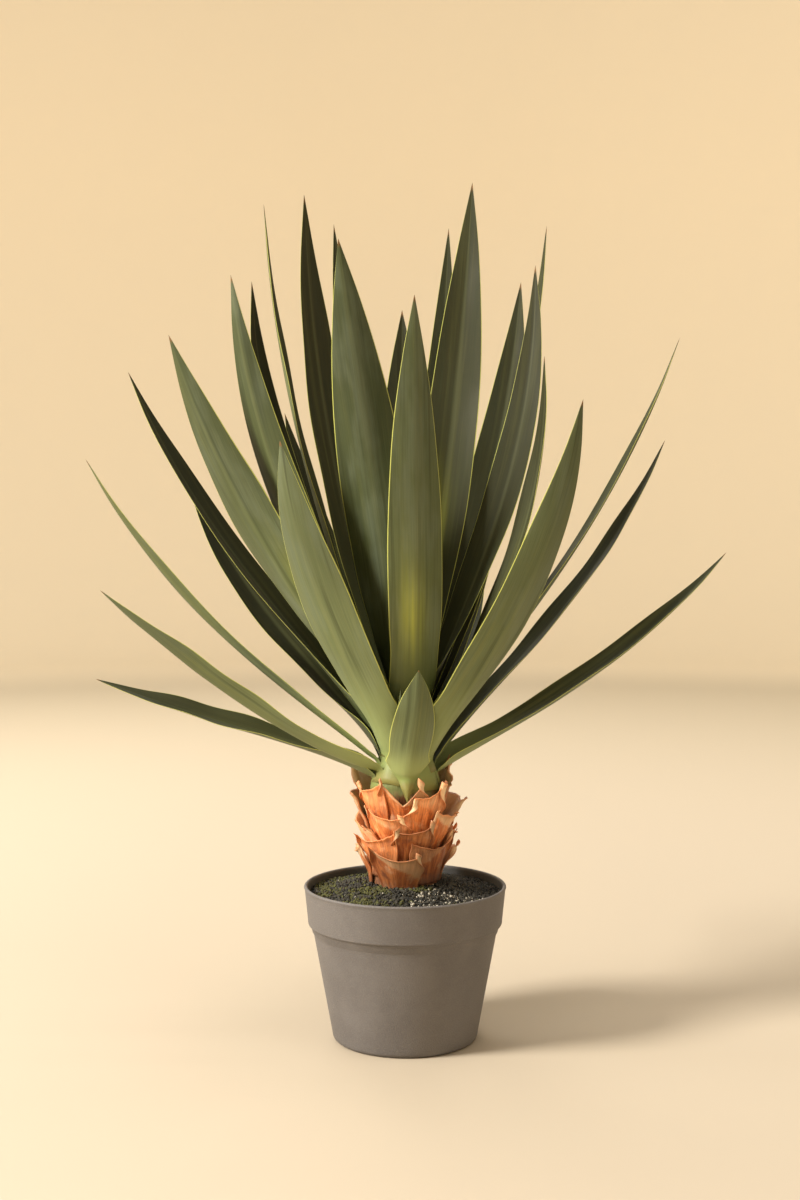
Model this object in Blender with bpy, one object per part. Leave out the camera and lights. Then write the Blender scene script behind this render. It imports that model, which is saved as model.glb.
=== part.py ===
"""A potted agave: a plastic pot, its soil, a short stem clad in dried leaf bases, and a rosette of leaves.

Metres, +Z up. The pot stands on z = 0 with its middle on the Z axis. Azimuth 0 is +X, and the plant's
front, the side it is seen from, is -Y.
"""

import math

import bmesh
import bpy
from mathutils import Quaternion, Vector

MM = 0.001
GAP = 0.3 * MM  # clearance between pieces that touch

# Pot: a tapered plastic pot with a taller band round its rim.
POT_SIDES = 44
POT_HEIGHT = 115 * MM
RIM_RADIUS = 75 * MM
BAND_FOOT_RADIUS = 72 * MM
BAND_HEIGHT = 28 * MM
BODY_TOP_RADIUS = 67.7 * MM
STEP_HEIGHT = 6 * MM  # the slope from the body out to the band
FOOT_RADIUS = 54 * MM
FOOT_ROUNDING = 5 * MM
POT_WALL = 2.2 * MM
RIM_WALL = 3.0 * MM
POT_FLOOR = 2.5 * MM

# Soil: fills the pot to just under the rim and rises a little towards the stem.
SOIL_EDGE_HEIGHT = 108.5 * MM
SOIL_CROWN_HEIGHT = 117 * MM
SOIL_CROWN_RADIUS = 30 * MM
SOIL_TOP_RINGS = 5
SOIL_LUMP = 0.5 * MM

# Stem: a stout trunk whose foot stands in the soil and whose top tapers to the heart of the rosette.
STEM_SIDES = 28
STEM_FOOT_HEIGHT = 70 * MM
STEM_FOOT_RADIUS = 13 * MM
STEM_FOOT_ROUNDING = 4 * MM
STEM_SOIL_RADIUS = 24.5 * MM
STEM_RADIUS = 24.5 * MM
CROWN_START = 192 * MM
CROWN_END = 244 * MM
CROWN_TIP_RADIUS = 6 * MM

# Leaves: where they sit on the stem, from the lowest, outermost one to the heart.
FIRST_SEAT = 195 * MM
LAST_SEAT = 241 * MM
LEAF_STATIONS = (0.0, 0.05, 0.12, 0.21, 0.32, 0.44, 0.56, 0.68, 0.80, 0.91)
# A blade's cross-section: how far along its half width, and which face (1 the upper, -1 the lower).
LEAF_OUTLINE = ((-1, 0), (-0.5, 1), (0, 1), (0.5, 1), (1, 0), (0.5, -1), (0, -1), (-0.5, -1))
LEAF_BASE_THICKNESS = 1.8 * MM
LEAF_MIDDLE_THICKNESS = 1.5 * MM
LEAF_TIP_THICKNESS = 0.8 * MM
LEAF_BASE_SHARE = 0.65  # width at the seat, as a share of the widest width
SEAT_WRAP = 1.1  # the most of the crown's radius that a seat takes up
LEAF_WIDEST_AT = 0.45  # share of the length
LEAF_TAPER = 2.6  # how full the blade stays towards its tip
SHEATH_END = 0.3  # share of the length over which the blade stops clasping the stem
SHEATH_CLEARANCE = 4 * MM
SHEATH_DEPTH = 0.22  # deepest clasp, of the width
CHANNEL_DEPTH = 0.11  # depth of the channel along the blade, of the width
TWIST_END = 0.8  # share of the length where the twist is complete
EDGE_THINNING = 0.45
BASE_HANDLE = 0.22  # how far the centre line follows the base direction, as a share of its chord
TIP_HANDLE = 0.45  # how far it follows the tip direction

# Husks: the dried leaf bases on the stem, on a spiral from the soil upwards.
HUSK_COUNT = 23
GOLDEN_ANGLE = 137.5
FIRST_HUSK_AZIMUTH = -100
FIRST_HUSK = 119 * MM
LAST_HUSK = 174 * MM
HUSK_HEIGHT = 27 * MM
HUSK_HEIGHT_SWING = 3 * MM  # how much taller or shorter one husk is than another
HUSK_THICKNESS = 1.5 * MM
HUSK_SIDE_THINNING = 0.35
HUSK_FLARE = 18  # degrees outwards from upright
HUSK_FLARE_SWING = 3  # degrees
HUSK_FOOT_SPREAD = 23  # half width in degrees round the stem
HUSK_TOP_SPREAD = 33
HUSK_NOTCH = 0.16  # how far the cut top edge dips in its middle, of the height
HUSK_CURL = 2.5 * MM  # how far the top corners curl outwards
HUSK_COLUMNS = (-1.0, -0.6, 0.0, 0.6, 1.0)
HUSK_ROWS = (0.0, 0.35, 0.7, 1.0)

POT_COLOUR = (0.22, 0.185, 0.165)
SOIL_COLOUR = (0.03, 0.03, 0.022)
STEM_COLOUR = (0.16, 0.075, 0.03)
HUSK_COLOURS = ((0.42, 0.21, 0.07), (0.50, 0.30, 0.12), (0.30, 0.13, 0.045))
LEAF_COLOURS = {
    "pale": (0.23, 0.27, 0.17),
    "green": (0.12, 0.17, 0.09),
    "dark": (0.055, 0.085, 0.045),
}

# One row a leaf, from the lowest seat to the heart:
# azimuth, reach and height of the tip in mm, lean from upright at the base and at the tip in degrees,
# widest width in mm, twist and sideways sway at the tip in degrees, and colour.
LEAVES = (
    (180, 229, 268, 61, 68, 25, -25, 0, "green"),
    (26, 243, 361, 63, 40, 27, 2, -20, "pale"),
    (95, 225, 272, 45, 72, 34, 0, 0, "dark"),
    (-87, 60, 280, 26, 8, 31, 0, 6, "pale"),
    (-166, 222, 336, 74, 47, 28, 26, 0, "pale"),
    (70, 200, 345, 45, 50, 34, 0, 0, "dark"),
    (22, 220, 448, 37, 25, 23, 6, 0, "dark"),
    (112, 205, 330, 42, 50, 34, 0, 0, "dark"),
    (-171, 231, 429, 49, 28, 17, 25, 0, "pale"),
    (-48, 174, 465, 36, 10, 36, -15, 0, "pale"),
    (86, 185, 410, 35, 35, 34, 0, 0, "dark"),
    (150, 199, 417, 38, 28, 38, -25, 0, "dark"),
    (8, 208, 522, 31, 19, 20, 0, 0, "green"),
    (-134, 118, 440, 22, 8, 46, 12, -3, "pale"),
    (58, 160, 460, 28, 22, 36, 0, 0, "dark"),
    (165, 220, 499, 32, 24, 30, -15, 0, "dark"),
    (104, 175, 480, 30, 25, 36, 0, 0, "dark"),
    (-94, 46, 266, 12, 20, 6, 0, 0, "pale"),
    (-10, 102, 504, 26, -4, 36, 25, 0, "dark"),
    (133, 140, 470, 24, 18, 34, 0, 0, "dark"),
    (-165, 173, 516, 27, 18, 46, 42, 0, "green"),
    (45, 129, 572, 22, 6, 38, 30, 0, "dark"),
    (146, 144, 571, 24, 2, 30, -15, 0, "dark"),
    (-70, 86, 539, 20, -4, 41, 0, -16, "pale"),
    (110, 171, 629, 22, 12, 28, 0, 0, "dark"),
    (26, 120, 609, 22, 4, 22, 0, 0, "green"),
    (-160, 131, 558, 24, 6, 36, 38, 0, "green"),
    (91, 122, 554, 16, 10, 44, 0, 0, "dark"),
    (14, 100, 575, 18, -2, 32, 45, 0, "dark"),
    (-178, 103, 615, 19, 3, 26, -8, 0, "green"),
    (73, 120, 618, 14, 7, 28, 12, 0, "dark"),
    (142, 98, 634, 18, 2, 37, -14, 0, "dark"),
    (44, 71, 641, 12, 4, 42, 35, 0, "dark"),
    (-128, 76, 581, 4, 12, 50, 38, 0, "green"),
)


def clear_scene():
    for item in list(bpy.data.objects):
        bpy.data.objects.remove(item)


def blend(start, end, share):
    return start + (end - start) * share


def smooth(share):
    share = min(max(share, 0.0), 1.0)
    return share * share * (3 - 2 * share)


def polar(radius, degrees, height):
    angle = math.radians(degrees)
    return Vector((radius * math.cos(angle), radius * math.sin(angle), height))


def plain_material(name, colour, roughness):
    material = bpy.data.materials.new(name)
    material.use_nodes = True
    surface = material.node_tree.nodes["Principled BSDF"]
    surface.inputs["Base Color"].default_value = (*colour, 1.0)
    surface.inputs["Roughness"].default_value = roughness
    surface.inputs["Metallic"].default_value = 0.0
    return material


def add_piece(name, points, faces, colour, roughness, sharp_over=50):
    mesh = bpy.data.meshes.new(name)
    mesh.from_pydata([tuple(p) for p in points], [], faces)
    body = bmesh.new()
    body.from_mesh(mesh)
    bmesh.ops.recalc_face_normals(body, faces=body.faces)
    body.to_mesh(mesh)
    body.free()
    mesh.shade_smooth()
    mesh.set_sharp_from_angle(angle=math.radians(sharp_over))
    mesh.materials.append(plain_material(name, colour, roughness))
    piece = bpy.data.objects.new(name, mesh)
    bpy.context.scene.collection.objects.link(piece)
    return piece


def turned(profile, sides):
    """A closed body of revolution. Its profile of (radius, height) starts and ends on the axis."""
    points = [Vector((0, 0, profile[0][1]))]
    faces = []
    inner = profile[1:-1]
    for radius, height in inner:
        points += [polar(radius, 360 * k / sides, height) for k in range(sides)]
    last = len(points)
    points.append(Vector((0, 0, profile[-1][1])))
    for k in range(sides):
        after = (k + 1) % sides
        faces.append((0, 1 + after, 1 + k))
        for row in range(len(inner) - 1):
            low = 1 + row * sides
            high = low + sides
            faces.append((low + k, low + after, high + after, high + k))
        top = last - sides
        faces.append((top + k, top + after, last))
    return points, faces


def arc(centre, radius, start, end, steps):
    """Points on a profile's rounded corner, from one angle to another in degrees."""
    angles = [math.radians(blend(start, end, k / steps)) for k in range(steps + 1)]
    return [(centre[0] + radius * math.cos(a), centre[1] + radius * math.sin(a)) for a in angles]


def wall_radius(height):
    """Outer radius of the pot's tapered body."""
    body_top = POT_HEIGHT - BAND_HEIGHT - STEP_HEIGHT
    return blend(FOOT_RADIUS, BODY_TOP_RADIUS, height / body_top)


def cavity_radius(height):
    """Inner radius of the pot: the body's taper, then the band's."""
    body_top = POT_HEIGHT - BAND_HEIGHT - STEP_HEIGHT
    band_foot = POT_HEIGHT - BAND_HEIGHT
    if height <= body_top:
        return wall_radius(height) - POT_WALL
    band_inner = BAND_FOOT_RADIUS - POT_WALL
    if height <= band_foot:
        share = (height - body_top) / STEP_HEIGHT
        return blend(BODY_TOP_RADIUS - POT_WALL, band_inner, share)
    share = (height - band_foot) / BAND_HEIGHT
    return blend(band_inner, RIM_RADIUS - RIM_WALL, share)


def make_pot():
    body_top = POT_HEIGHT - BAND_HEIGHT - STEP_HEIGHT
    band_foot = POT_HEIGHT - BAND_HEIGHT
    lip = RIM_WALL / 2
    foot_centre = (FOOT_RADIUS - FOOT_ROUNDING, FOOT_ROUNDING)
    rim_centre = (RIM_RADIUS - lip, POT_HEIGHT - lip)
    profile = [(0, 0)]
    profile += arc(foot_centre, FOOT_ROUNDING, -90, 0, 4)
    profile += [(BODY_TOP_RADIUS, body_top)]
    profile += arc((BAND_FOOT_RADIUS - 2 * MM, band_foot), 2 * MM, -60, 0, 3)
    profile += arc(rim_centre, lip, 0, 180, 6)
    profile += [(cavity_radius(band_foot), band_foot)]
    profile += [(cavity_radius(body_top), body_top)]
    profile += [(cavity_radius(POT_FLOOR + FOOT_ROUNDING), POT_FLOOR + FOOT_ROUNDING)]
    profile += [(cavity_radius(POT_FLOOR) - FOOT_ROUNDING / 2, POT_FLOOR)]
    profile += [(0, POT_FLOOR)]
    points, faces = turned(profile, POT_SIDES)
    add_piece("pot", points, faces, POT_COLOUR, 0.55)


def stem_radius(height):
    """Radius of the stem: its foot in the soil, the trunk, then the crown's cone."""
    soil = SOIL_CROWN_HEIGHT
    if height <= soil:
        share = (height - STEM_FOOT_HEIGHT) / (soil - STEM_FOOT_HEIGHT)
        return blend(STEM_FOOT_RADIUS, STEM_SOIL_RADIUS, smooth(share))
    if height <= CROWN_START:
        share = (height - soil) / (CROWN_START - soil)
        return blend(STEM_SOIL_RADIUS, STEM_RADIUS, smooth(2 * share))
    share = (height - CROWN_START) / (CROWN_END - CROWN_START)
    return blend(STEM_RADIUS, CROWN_TIP_RADIUS, share)


def make_stem():
    foot = STEM_FOOT_HEIGHT
    trunk = [blend(foot, CROWN_START, k / 8) for k in range(1, 9)]
    profile = [(0, foot), (STEM_FOOT_RADIUS - STEM_FOOT_ROUNDING, foot)]
    profile += [(STEM_FOOT_RADIUS, foot + STEM_FOOT_ROUNDING)]
    profile += [(stem_radius(height), height) for height in trunk]
    profile += [(CROWN_TIP_RADIUS, CROWN_END), (0, CROWN_END + CROWN_TIP_RADIUS)]
    points, faces = turned(profile, STEM_SIDES)
    add_piece("stem", points, faces, STEM_COLOUR, 0.8)


def make_soil():
    """The soil's underside follows the pot's inside, and its middle is the stem's pocket."""
    body_top = POT_HEIGHT - BAND_HEIGHT - STEP_HEIGHT
    band_foot = POT_HEIGHT - BAND_HEIGHT
    floor = POT_FLOOR + GAP
    corner = POT_FLOOR + FOOT_ROUNDING
    pocket = 2 * GAP
    profile = [(0, floor), (cavity_radius(POT_FLOOR) - FOOT_ROUNDING / 2 - GAP, floor)]
    profile += [(cavity_radius(h) - GAP, h) for h in (corner, body_top, band_foot, SOIL_EDGE_HEIGHT)]
    edge = profile[-1][0]
    top_start = len(profile)
    for k in range(1, SOIL_TOP_RINGS + 1):
        share = k / SOIL_TOP_RINGS
        radius = blend(edge, SOIL_CROWN_RADIUS, share)
        rise = smooth(share) ** 1.5
        profile.append((radius, blend(SOIL_EDGE_HEIGHT, SOIL_CROWN_HEIGHT, rise)))
    top_end = len(profile)
    pocket_foot = STEM_FOOT_HEIGHT + STEM_FOOT_ROUNDING
    pocket_heights = [blend(SOIL_CROWN_HEIGHT, pocket_foot, k / 4) for k in range(5)]
    profile += [(stem_radius(h) + pocket, h) for h in pocket_heights]
    profile += [(STEM_FOOT_RADIUS - STEM_FOOT_ROUNDING + pocket, STEM_FOOT_HEIGHT - pocket)]
    profile += [(0, STEM_FOOT_HEIGHT - pocket)]
    points, faces = turned(profile, POT_SIDES)
    for row in range(top_start, top_end - 1):
        for k in range(POT_SIDES):
            point = points[1 + (row - 1) * POT_SIDES + k]
            wave = math.sin(3.1 * k + 1.7 * row) + math.sin(1.3 * k - 2.3 * row)
            point.z += SOIL_LUMP * wave
    add_piece("soil", points, faces, SOIL_COLOUR, 0.95)


def leaf_seat(index):
    """Height and radius of a leaf's seat on the crown's cone, and the cone's slope."""
    height = blend(FIRST_SEAT, LAST_SEAT, index / (len(LEAVES) - 1))
    slope = (STEM_RADIUS - CROWN_TIP_RADIUS) / (CROWN_END - CROWN_START)
    return height, stem_radius(height), slope


def leaf_width(share, widest, base):
    if share <= LEAF_WIDEST_AT:
        rise = math.sin(math.pi / 2 * share / LEAF_WIDEST_AT)
        return blend(base, widest, rise)
    return widest * (1 - ((share - LEAF_WIDEST_AT) / (1 - LEAF_WIDEST_AT)) ** LEAF_TAPER)


def leaf_thickness(share):
    if share <= 0.5:
        return blend(LEAF_BASE_THICKNESS, LEAF_MIDDLE_THICKNESS, share / 0.5)
    return blend(LEAF_MIDDLE_THICKNESS, LEAF_TIP_THICKNESS, (share - 0.5) / 0.5)


def lean_direction(azimuth, lean):
    """The direction that leans from upright towards an azimuth, in degrees."""
    angle = math.radians(lean)
    return polar(math.sin(angle), azimuth, math.cos(angle))


def bezier(ends, share):
    """Point and direction of travel on a cubic curve."""
    a, b, c, d = ends
    back = 1 - share
    point = a * back**3 + b * 3 * back**2 * share + c * 3 * back * share**2 + d * share**3
    travel = (b - a) * back**2 + (c - b) * 2 * back * share + (d - c) * share**2
    return point, travel.normalized()


def leaf_sections(index):
    """The leaf's rings of eight points, base to tip, and its tip point."""
    azimuth, reach, height, base_lean, tip_lean, widest, twist, sway, _ = LEAVES[index]
    seat_height, seat_radius, slope = leaf_seat(index)
    leaves_at = lean_direction(azimuth, base_lean)
    across = polar(1, azimuth + 90, 0)
    inward = leaves_at.cross(across)
    outward = (polar(1, azimuth, 0) + Vector((0, 0, slope))).normalized()
    reach_in = LEAF_BASE_THICKNESS / 2 * abs(inward.dot(outward))
    seat = polar(seat_radius, azimuth, seat_height) + outward * (GAP + reach_in)
    tip = polar(reach * MM, azimuth + sway, height * MM)
    chord = (tip - seat).length
    arrives = lean_direction(azimuth + sway, tip_lean)
    ends = (seat, seat + leaves_at * chord * BASE_HANDLE, tip - arrives * chord * TIP_HANDLE, tip)
    base = min(LEAF_BASE_SHARE * widest * MM, SEAT_WRAP * seat_radius + 2 * MM)
    rings = []
    for share in LEAF_STATIONS:
        point, travel = bezier(ends, share)
        side = (across - travel * across.dot(travel)).normalized()
        side = Quaternion(travel, math.radians(twist * smooth(share / TWIST_END))) @ side
        upper = travel.cross(side)
        half = leaf_width(share, widest * MM, base) / 2
        hug = 1 - smooth(share / SHEATH_END)
        around = seat_radius + SHEATH_CLEARANCE
        hug_rise = around - math.sqrt(max(around**2 - half**2, 0))
        rise = blend(CHANNEL_DEPTH * 2 * half, min(hug_rise, SHEATH_DEPTH * 2 * half), hug)
        thick = leaf_thickness(share)
        ring = []
        for along, face in LEAF_OUTLINE:
            fold = rise * along**2
            body = thick / 2 * face * (1 - EDGE_THINNING * along**2)
            ring.append(point + side * (along * half) + upper * (fold + body))
        rings.append(ring)
    return rings, tip


def make_leaf(index):
    rings, tip = leaf_sections(index)
    around = len(rings[0])
    points = [point for ring in rings for point in ring]
    points.append(tip)
    faces = [tuple(range(around))]
    for row in range(len(rings) - 1):
        for k in range(around):
            after = (k + 1) % around
            low = row * around
            faces.append((low + k, low + after, low + around + after, low + around + k))
    top = (len(rings) - 1) * around
    for k in range(around):
        faces.append((top + k, top + (k + 1) % around, len(points) - 1))
    colour = LEAF_COLOURS[LEAVES[index][-1]]
    add_piece(f"leaf_{index + 1:02d}", points, faces, colour, 0.5)


def make_husk(index):
    """A curved scale that hugs the stem at its foot and flares outwards to a cut, curled top edge."""
    azimuth = FIRST_HUSK_AZIMUTH + index * GOLDEN_ANGLE
    foot = blend(FIRST_HUSK, LAST_HUSK, index / (HUSK_COUNT - 1))
    tall = HUSK_HEIGHT + HUSK_HEIGHT_SWING * math.sin(2.3 * index)
    flare = math.tan(math.radians(HUSK_FLARE + HUSK_FLARE_SWING * math.sin(1.9 * index)))
    inner = []
    outer = []
    for up in HUSK_ROWS:
        spread = blend(HUSK_FOOT_SPREAD, HUSK_TOP_SPREAD, smooth(1.4 * up))
        for along in HUSK_COLUMNS:
            notch = HUSK_NOTCH * (1 - along**2) * up**3
            height = foot + tall * (up - notch)
            curl = HUSK_CURL * up**2 * abs(along) ** 3
            radius = stem_radius(foot) + GAP + tall * up * flare + curl
            angle = azimuth + along * spread
            thick = HUSK_THICKNESS * (1 - HUSK_SIDE_THINNING * abs(along))
            inner.append(polar(radius, angle, height))
            outer.append(polar(radius + thick, angle, height - 0.3 * thick * up))
    columns = len(HUSK_COLUMNS)
    rows = len(HUSK_ROWS)
    count = rows * columns
    faces = []
    for row in range(rows - 1):
        for column in range(columns - 1):
            corner = row * columns + column
            square = (corner, corner + 1, corner + columns + 1, corner + columns)
            faces.append(square)
            faces.append(tuple(count + k for k in reversed(square)))
    border = list(range(columns))
    border += [row * columns + columns - 1 for row in range(1, rows)]
    border += [(rows - 1) * columns + column for column in range(columns - 2, -1, -1)]
    border += [row * columns for row in range(rows - 2, 0, -1)]
    for k, start in enumerate(border):
        end = border[(k + 1) % len(border)]
        faces.append((start, count + start, count + end, end))
    colour = HUSK_COLOURS[index % len(HUSK_COLOURS)]
    add_piece(f"husk_{index + 1:02d}", inner + outer, faces, colour, 0.75)


def main():
    clear_scene()
    make_pot()
    make_soil()
    make_stem()
    for index in range(HUSK_COUNT):
        make_husk(index)
    for index in range(len(LEAVES)):
        make_leaf(index)


main()
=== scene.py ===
"""Looks of a potted agave: a taupe plastic pot, mossy soil, a stem clad in dried leaf bases, and leaves.

Each leaf is lofted again from its CAD solid's own rings, so it keeps its shape and place in the frame.
It gains a deeper channel, a thin margin, a wider base and a sheath down the stem. The pot, soil, stem and
husks are remade finer, around the places and sizes of their CAD solids.
"""

import itertools
import math
import random
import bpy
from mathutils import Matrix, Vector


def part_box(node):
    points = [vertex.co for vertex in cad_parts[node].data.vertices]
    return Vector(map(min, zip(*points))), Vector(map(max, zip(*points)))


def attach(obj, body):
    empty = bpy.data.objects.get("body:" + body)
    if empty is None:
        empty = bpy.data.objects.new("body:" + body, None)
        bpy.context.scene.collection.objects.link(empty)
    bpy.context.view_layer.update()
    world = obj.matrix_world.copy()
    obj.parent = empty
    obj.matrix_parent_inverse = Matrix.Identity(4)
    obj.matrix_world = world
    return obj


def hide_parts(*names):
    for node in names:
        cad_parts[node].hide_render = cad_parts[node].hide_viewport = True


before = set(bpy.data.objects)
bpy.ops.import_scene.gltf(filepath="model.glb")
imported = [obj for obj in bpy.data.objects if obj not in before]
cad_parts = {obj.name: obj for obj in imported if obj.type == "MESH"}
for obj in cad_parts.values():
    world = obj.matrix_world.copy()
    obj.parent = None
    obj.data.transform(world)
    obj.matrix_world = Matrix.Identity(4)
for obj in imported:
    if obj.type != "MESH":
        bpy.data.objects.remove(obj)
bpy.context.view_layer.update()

from types import SimpleNamespace

import bmesh
import bpy
import numpy as np
from mathutils import Euler, Vector, noise

MM = 0.001
WELD = 0.01 * MM
ABOUT_A_TURN = 6.28  # radians

# Camera: at the plant's front, a little above its middle, looking slightly down.
CAMERA_PLACE = (-0.0038, -1.228, 0.388)
CAMERA_DIP = 2.87  # degrees below the horizon
LENS = 50
SENSOR_WIDTH = 36

# Leaves. A share of a leaf runs from 0 at its seat on the stem to 1 at its tip, and it is below 0 in the
# sheath, which carries on the leaf down the stem.
LEAF_SEED = 100
BLADE_ROWS = 76
BLADE_COLUMNS = 18
ROW_CROWDING = 1.12  # above 1, the rows of points stand closer together towards the tip
MARGIN_THICKNESS = 0.3 * MM
TIP_THICKNESS = 0.2 * MM
ON_THE_EDGE = 0.9999  # a point further across than this lies on the blade's edge
WIDER_BASE = 0.38  # how much wider a leaf is where it leaves the stem than its CAD solid
SHEATH_DROP = 20 * MM  # how far a leaf's sheath runs down the stem below its seat
SHEATH_SPREAD = 1.4  # how much wider the sheath grows by its foot
SHEATH_LIMIT = 0.93  # a sheath's greatest half width, as a share of its distance from the stem's axis
SHORT_LEAF = 4  # the short front leaf, whose foot narrows to a point between two husks
SHORT_LEAF_DROP = 19 * MM
SHORT_LEAF_LIFT = 4.5 * MM  # how far its foot stands out over its neighbours'
SHORT_LEAF_LIFTS = 0.35  # share of its length below which it stands out
SHORT_LEAF_NARROWS = 0.10  # share of its length below which it narrows
# How light a leaf's skin is, from 0 to 1, where it isn't the usual: partly the skin's own colour, partly
# painted shade, darker on leaves that stand in the shade of others.
USUAL_TONE = 0.4
TONES_AND_SHADE = {
    1: 0.5, 2: 0.75, 4: 1.0, 5: 0.9, 7: 0.3, 9: 1.0, 10: 0.75, 12: 0.1, 13: 0.5, 14: 0.85, 16: 0.2,
    19: 0.15, 21: 0.38, 22: 0.25, 23: 0.0, 24: 0.5, 25: 0.0, 27: 0.3, 28: 0.05, 29: 0.2, 30: 0.9,
    31: 0.3, 32: 0.4, 33: 0.32, 34: 0.2,
}
# How much deeper a leaf's channel is than its CAD solid's.
USUAL_FOLD = 1.2
FOLDED = {1: 2.2, 2: 2.3, 5: 2.0, 7: 1.8, 9: 1.5, 10: 1.5, 12: 1.6, 13: 1.5, 16: 1.6}
# Where a leaf has a painted glow, a yellow patch standing in for light shining through it: its middle
# along and across, and how far it reaches along.
PAINTED_GLOWS = {24: (0.30, -0.20, 0.10), 33: (0.35, 0.3, 0.08), 27: (0.35, -0.6, 0.12), 21: (0.25, 0.6, 0.15)}
GLOW_REACH_ACROSS = 0.45
GLOW_MOST = 0.8

# Stem
STEM_SIDES = 96
STEM_ROWS = 90
STEM_GREEN = (186 * MM, 196 * MM)  # heights between which the brown stem turns to green flesh

# Husks
HUSK_SEED = 500
HUSK_ROWS = 26
HUSK_COLUMNS = 34
HUSK_SINK = 7 * MM  # how far a husk's foot runs on behind the husks below
HUSK_CLEAR = 1.8 * MM  # from the stem to the husk's foot
HUSK_FOOT_THICKNESS = 1.2 * MM
HUSK_EDGE_THICKNESS = 0.55 * MM
HUSK_CREASES = 3.4 * MM  # how far its creases stand out at the cut edge
HUSK_WAVES = 0.5 * MM
HUSK_LIP = 1.1 * MM  # how far the cut edge turns outwards
HUSK_LIP_FROM = 0.86
HUSK_HALF_WIDTH = 20 * MM  # a usual one, by which the fibres are spaced
SPLIT_HUSK = 22  # the front husk whose cut edge opens in a V round the short leaf's foot
SPLIT_DEPTH = 0.62
TOP_HUSKS = 17  # the husks from here up reach a little higher, round the lowest leaves
TOP_HUSK_RISE = 5 * MM
DARKER_LOW_HUSKS = (116 * MM, 156 * MM)  # heights between which the husks turn from dark to their full colour

# Pot. Its height and its rim's radius are the CAD pot's.
POT_SIDES = 180
BODY_STEPS = 30
BAND_STEPS = 14
BAND_HEIGHT = 28 * MM
BAND_TAPER = 3 * MM  # how much narrower the band is at its foot than at the rim
BAND_ROUND = 1.7 * MM
BODY_DROP = 34.5 * MM  # from the rim down to where the body ends, under the band
BODY_RADIUS = 67.7 * MM
FOOT_RADIUS = 54 * MM
FOOT_ROUND = 4 * MM
UNDERSIDE_HOLLOW = 0.6 * MM
STANDING_RING = 8 * MM  # width of the ring that the pot stands on
WALL = 2.2 * MM
POT_FLOOR = 2.5 * MM
LIP_ROUND = 1.3 * MM
OUT_OF_ROUND = 0.12 * MM
SHARP_ANGLE = 40

# Soil
SOIL_SIDES = 200
SOIL_RINGS = 46
SOIL_HOLE = 23 * MM  # radius of the hole that the stem stands in
SOIL_OVERLAP = 1.2 * MM  # how far its edge reaches past the CAD soil's, so that no gap shows at the wall
SOIL_SETTLE = 0.4 * MM  # how far the ground lies below the CAD soil, under the crumbs
# Radii and heights round the underside, from the hole outwards.
SOIL_UNDERSIDE = ((SOIL_HOLE, 70 * MM), (48 * MM, 7 * MM), (58 * MM, 60 * MM))
GROUND_MOSS = 0.45
GRAIN_SEED = 7
GRAIN_COUNT = 5200
GRAIN_HOLE = 24.5 * MM
GRAIN_EDGE_GAP = 0.4 * MM

# Stage
STAGE_SIDES = 96
FLOOR_RADIUS = 3.2
SWEEP_RADIUS = 1.6
WALL_TOP = 3.5
LIGHTS_AIM = (0, 0, 0.3)
SWEEP_COLOUR = (1.0, 0.97, 0.92)


# ---------------------------------------------------------------- helpers

def blend(start, end, share):
    return start + (end - start) * share


def smooth(share):
    share = min(max(share, 0.0), 1.0)
    return share * share * (3 - 2 * share)


def polar(radius, degrees, height):
    angle = math.radians(degrees)
    return Vector((radius * math.cos(angle), radius * math.sin(angle), height))


def azimuth_of(point):
    return math.degrees(math.atan2(point.y, point.x))


def arc(centre, radius, start, end, steps):
    """Points along an arc in a profile, from the start angle to the end angle in degrees."""
    angles = [math.radians(blend(start, end, k / steps)) for k in range(steps + 1)]
    return [(centre[0] + radius * math.cos(a), centre[1] + radius * math.sin(a)) for a in angles]


def numbered(kind):
    """The numbers of the CAD nodes of a kind, such as 1 for leaf_01."""
    return sorted(int(name.removeprefix(kind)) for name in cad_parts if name.startswith(kind))


def note(numbers, **values):
    """Adds one point's numbers to the lists that its material reads."""
    for key, value in values.items():
        numbers.setdefault(key, []).append(value)


def add_piece(name, points, faces, material, replaced, numbers):
    """A mesh piece that rides on the body and stands for a CAD node, with numbers for its material."""
    mesh = bpy.data.meshes.new(name)
    mesh.from_pydata([tuple(p) for p in points], [], faces)
    mesh.shade_smooth()
    for key, values in numbers.items():
        layer = mesh.attributes.new(key, "FLOAT", "POINT")
        layer.data.foreach_set("value", np.asarray(values, np.float32))
    mesh.materials.append(material)
    piece = bpy.data.objects.new(name, mesh)
    bpy.context.scene.collection.objects.link(piece)
    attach(piece, "root")
    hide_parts(replaced)
    return piece


def band_faces(low, high, around):
    """The faces between two rings of points whose first ones are low and high."""
    faces = []
    for k in range(around):
        after = (k + 1) % around
        faces.append((low + k, low + after, high + after, high + k))
    return faces


def ring_faces(rows, around):
    """The faces of a tube whose rings of points follow one another."""
    faces = []
    for row in range(rows - 1):
        faces += band_faces(row * around, (row + 1) * around, around)
    return faces


def spline(knots, values, at):
    """Smooth values that pass through each knot's, with their rate of change (cubic Hermite)."""
    slopes = np.gradient(values, knots, axis=0)
    cell = np.clip(np.searchsorted(knots, at, side="right") - 1, 0, len(knots) - 2)
    gap = (knots[cell + 1] - knots[cell])[:, None]
    t = (at - knots[cell])[:, None] / gap
    a, b = values[cell], values[cell + 1]
    m, n = slopes[cell] * gap, slopes[cell + 1] * gap
    value = (2 * t**3 - 3 * t**2 + 1) * a + (t**3 - 2 * t**2 + t) * m
    value += (3 * t**2 - 2 * t**3) * b + (t**3 - t**2) * n
    rate = ((6 * t**2 - 6 * t) * (a - b) + (3 * t**2 - 4 * t + 1) * m + (3 * t**2 - 2 * t) * n) / gap
    return value, rate


# ---------------------------------------------------------------- materials

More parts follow.
